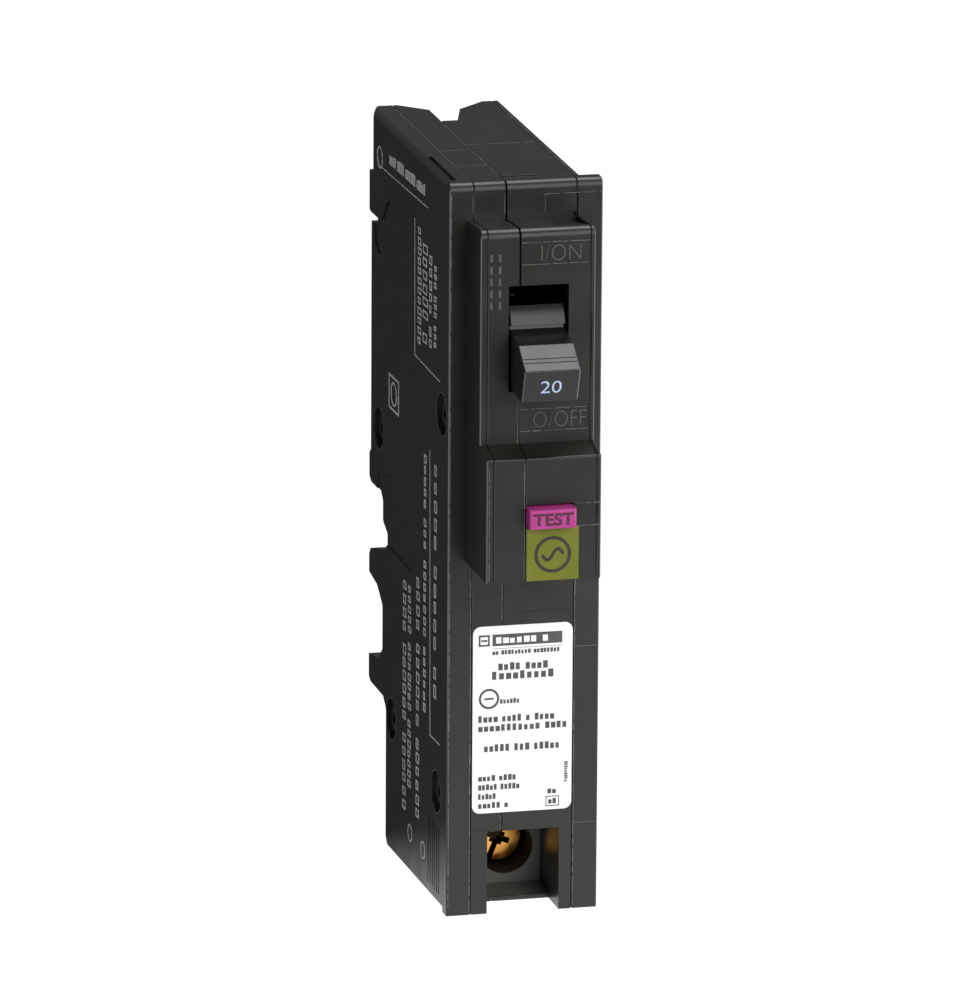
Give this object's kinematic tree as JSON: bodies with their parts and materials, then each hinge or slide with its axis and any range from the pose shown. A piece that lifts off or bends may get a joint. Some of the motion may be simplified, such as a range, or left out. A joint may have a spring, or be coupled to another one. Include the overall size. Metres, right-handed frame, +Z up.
{
  "type": "plug-on circuit breaker",
  "caption": "One-pole plug-on circuit breaker with a toggle handle, a test button, a front label, a screw terminal at the foot and clips at the back.",
  "frame": {"origin": "centre of the object's box, at its base", "axes": "+Z up towards the line end, -Y out of the front with the handle, +X to the right of someone who faces the front"},
  "size_m": [0.0254, 0.0763, 0.1236],
  "materials": {
    "case_black": "fine-textured black thermoset",
    "rivet_steel": "blackened steel",
    "handle_black": "smooth black plastic",
    "steel": "zinc-plated steel",
    "button_magenta": "magenta moulded plastic",
    "spring_steel": "spring wire",
    "copper": "bare copper",
    "tinned_copper": "tin-plated copper",
    "braid_copper": "fine copper braid",
    "silver": "silver alloy",
    "badge_green": "olive-green sheet",
    "label_paper": "white printed sheet",
    "fibre": "vulcanised fibre",
    "bimetal": "rolled bimetal strip",
    "ferrite": "coated ring core",
    "winding": "enamelled wire winding",
    "inner_plastic": "natural nylon",
    "board_green": "solder-masked board",
    "chip_black": "moulded packages",
    "can_sleeve": "shrink-sleeved cans",
    "terminal_brass": "yellow-plated screw",
    "lead_white": "PVC insulation"
  },
  "bodies": {
    "case": {"left_cover": "case_black", "electronics_housing": "case_black", "mechanism_housing": "case_black", "right_cover": "case_black", "case_rivets": "rivet_steel", "handle_pin": "steel", "test_button_spring": "spring_steel", "test_contact": "copper", "status_badge": "badge_green", "rating_label": "label_paper", "line_jaw": "tinned_copper", "jaw_spring": "spring_steel", "line_strap": "copper", "fixed_contact": "silver", "arm_pin": "steel", "cradle_pin": "steel", "toggle_spring": "spring_steel", "arc_plates": "steel", "arc_chute_sides": "fibre", "bimetal": "bimetal", "magnet_yoke": "steel", "armature_pin": "steel", "armature_spring": "spring_steel", "calibration_screw": "steel", "braid": "braid_copper", "load_strap": "copper", "fault_sensor": "ferrite", "trip_coil": "winding", "coil_bracket": "steel", "rocker_pin": "steel", "rocker_spring": "spring_steel", "circuit_board": "board_green", "board_parts": "chip_black", "capacitors": "can_sleeve", "load_lug": "tinned_copper", "neutral_lug": "tinned_copper", "neutral_clip": "tinned_copper", "neutral_lead": "lead_white"},
    "handle": {"handle": "handle_black"},
    "arm": {"contact_arm": "copper", "moving_contact": "silver"},
    "cradle": {"cradle": "steel"},
    "test_button": {"test_button": "button_magenta"},
    "armature": {"armature": "steel"},
    "plunger": {"trip_plunger": "steel"},
    "rocker": {"trip_rocker": "inner_plastic"},
    "load_plate": {"load_pressure_plate": "steel"},
    "load_screw": {"load_screw": "terminal_brass"},
    "neutral_plate": {"neutral_pressure_plate": "steel"},
    "neutral_screw": {"neutral_screw": "terminal_brass"}
  },
  "joints": [
    {"name": "handle_tilt", "type": "hinge", "parent": "case", "child": "handle", "pos_m": [0, -0.02055, 0.0989], "axis": [-1, 0, 0], "range_deg": [0, 40]},
    {"name": "arm_swing", "type": "hinge", "parent": "case", "child": "arm", "pos_m": [0, -0.00025, 0.088], "axis": [-1, 0, 0], "range_deg": [0, 18]},
    {"name": "cradle_trip", "type": "hinge", "parent": "case", "child": "cradle", "pos_m": [0, 0.01075, 0.099], "axis": [-1, 0, 0], "range_deg": [0, 15], "stiffness_Nm_per_rad": 0.002},
    {"name": "test_press", "type": "slide", "parent": "case", "child": "test_button", "axis": [0, 1, 0], "range_m": [0, 0.0022], "stiffness_N_per_m": 400, "springref_m": -0.001, "deforming": ["test_button_spring"]},
    {"name": "armature_swing", "type": "hinge", "parent": "case", "child": "armature", "pos_m": [0, 0.02015, 0.0872], "axis": [1, 0, 0], "range_deg": [0, 2.5]},
    {"name": "plunger_lift", "type": "slide", "parent": "case", "child": "plunger", "axis": [0, 0, 1], "range_m": [0, 0.0024], "stiffness_N_per_m": 60, "springref_m": -0.001},
    {"name": "rocker_swing", "type": "hinge", "parent": "case", "child": "rocker", "pos_m": [0, 0.00075, 0.052], "axis": [-1, 0, 0], "range_deg": [0, 12]},
    {"name": "load_clamp", "type": "slide", "parent": "case", "child": "load_plate", "axis": [0, 1, 0], "range_m": [0, 0.00175]},
    {"name": "load_screw_turn", "type": "hinge", "parent": "load_plate", "child": "load_screw", "pos_m": [0.0003, 0.00075, 0.0075], "axis": [0, 1, 0], "range_deg": [0, 900]},
    {"name": "neutral_clamp", "type": "slide", "parent": "case", "child": "neutral_plate", "axis": [0, 1, 0], "range_m": [0, 0.00175]},
    {"name": "neutral_screw_turn", "type": "hinge", "parent": "neutral_plate", "child": "neutral_screw", "pos_m": [-0.0083, 0.00175, 0.0075], "axis": [0, 1, 0], "range_deg": [0, 900]}
  ],
  "couplings": [
    {"joint": "arm_swing", "follows": "handle_tilt", "ratio": 0.45},
    {"joint": "rocker_swing", "follows": "plunger_lift", "rad_per_m": 87.258},
    {"joint": "armature_swing", "follows": "plunger_lift", "rad_per_m": 18.179},
    {"joint": "load_screw_turn", "follows": "load_clamp", "rad_per_m": 8975.1},
    {"joint": "neutral_screw_turn", "follows": "neutral_clamp", "rad_per_m": 8975.1}
  ]
}
